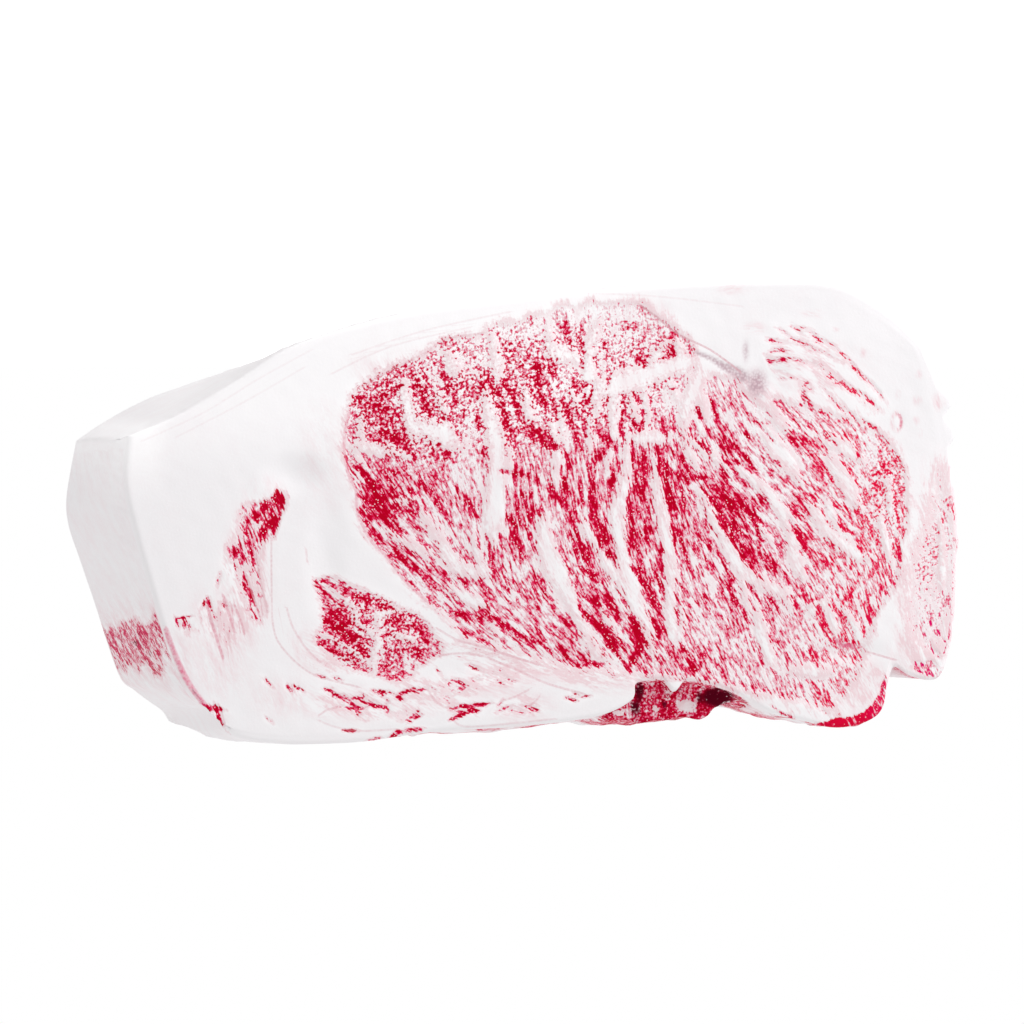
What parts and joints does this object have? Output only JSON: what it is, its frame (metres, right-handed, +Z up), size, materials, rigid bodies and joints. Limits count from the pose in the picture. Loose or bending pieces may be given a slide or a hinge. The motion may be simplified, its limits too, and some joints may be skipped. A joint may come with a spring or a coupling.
{
  "type": "raw beef sirloin block",
  "caption": "Thick block of raw, marbled beef sirloin standing on its lower side, with a white fat cap, a trimmed fat end and a red and white cut face.",
  "frame": {"origin": "on the table, under the middle of the block's box", "axes": "+X along the cut face from the trimmed fat end to the rib side, -Y out of the front cut face, +Z up to the fat cap"},
  "size_m": [0.2604, 0.0818, 0.1352],
  "materials": {
    "marbled_beef": "moist, soft sheen"
  },
  "bodies": {
    "root": {"sirloin": "marbled_beef"}
  },
  "joints": []
}
